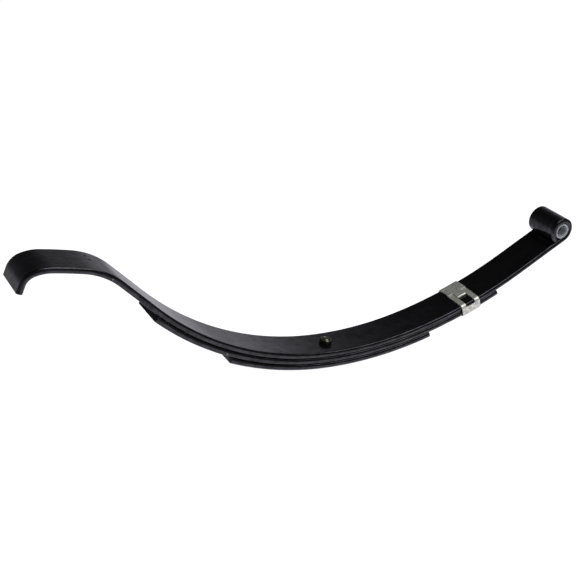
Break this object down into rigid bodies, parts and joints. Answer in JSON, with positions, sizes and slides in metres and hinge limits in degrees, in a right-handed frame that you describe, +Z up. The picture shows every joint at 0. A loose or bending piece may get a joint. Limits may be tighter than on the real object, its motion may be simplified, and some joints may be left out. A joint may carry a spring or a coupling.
{
  "type": "trailer leaf spring",
  "caption": "Upswept slipper leaf spring with a stack of graduated leaves, a rolled eye with bushing, a slipper hook, a centre bolt and a strap clip.",
  "frame": {"origin": "on the axle seat: the underside of the stack of leaves at the centre bolt, where the shank meets the round head", "axes": "+X along the spring toward the rolled eye, +Y across the leaves along the eye bolt, +Z up, the way the ends curve"},
  "size_m": [0.6792, 0.0478, 0.1637],
  "materials": {
    "leaf_paint": "satin black paint on spring steel",
    "nylon": "natural nylon, slightly translucent",
    "zinc_yellow": "olive yellow zinc plate, dark and dulled",
    "galvanised": "galvanised, mottled"
  },
  "bodies": {
    "clamped_middle": {"main_leaf_middle": "leaf_paint", "second_leaf_middle": "leaf_paint", "third_leaf_middle": "leaf_paint", "centre_bolt": "zinc_yellow", "centre_nut": "zinc_yellow"},
    "main_eye_arm": {"main_leaf_eye_arm": "leaf_paint", "main_leaf_rolled_eye": "leaf_paint", "eye_bushing": "nylon"},
    "second_eye_arm": {"second_leaf_eye_arm": "leaf_paint", "strap_clip": "galvanised"},
    "third_eye_arm": {"third_leaf_eye_arm": "leaf_paint"},
    "main_hook_arm": {"main_leaf_hook_arm": "leaf_paint", "main_leaf_hook": "leaf_paint"},
    "second_hook_arm": {"second_leaf_hook_arm": "leaf_paint"},
    "third_hook_arm": {"third_leaf_hook_arm": "leaf_paint"}
  },
  "joints": [
    {"name": "main_eye_flex", "type": "hinge", "parent": "clamped_middle", "child": "main_eye_arm", "pos_m": [0.04826, 0, 0.01989], "axis": [0, 1, 0], "range_deg": [-2, 13], "stiffness_Nm_per_rad": 2700},
    {"name": "second_eye_flex", "type": "hinge", "parent": "clamped_middle", "child": "second_eye_arm", "pos_m": [0.04907, 0, 0.01299], "axis": [0, 1, 0], "range_deg": [-2, 13]},
    {"name": "third_eye_flex", "type": "hinge", "parent": "clamped_middle", "child": "third_eye_arm", "pos_m": [0.04988, 0, 0.00608], "axis": [0, 1, 0], "range_deg": [-2, 13]},
    {"name": "main_hook_flex", "type": "hinge", "parent": "clamped_middle", "child": "main_hook_arm", "pos_m": [-0.04829, 0, 0.02048], "axis": [0, -1, 0], "range_deg": [-2, 13], "stiffness_Nm_per_rad": 2700},
    {"name": "second_hook_flex", "type": "hinge", "parent": "clamped_middle", "child": "second_hook_arm", "pos_m": [-0.04926, 0, 0.0136], "axis": [0, -1, 0], "range_deg": [-2, 13]},
    {"name": "third_hook_flex", "type": "hinge", "parent": "clamped_middle", "child": "third_hook_arm", "pos_m": [-0.05024, 0, 0.00672], "axis": [0, -1, 0], "range_deg": [-2, 13]}
  ],
  "couplings": [
    {"joint": "second_eye_flex", "follows": "main_eye_flex", "ratio": 0.99},
    {"joint": "third_eye_flex", "follows": "main_eye_flex", "ratio": 0.98},
    {"joint": "second_hook_flex", "follows": "main_hook_flex", "ratio": 0.985},
    {"joint": "third_hook_flex", "follows": "main_hook_flex", "ratio": 0.97}
  ]
}
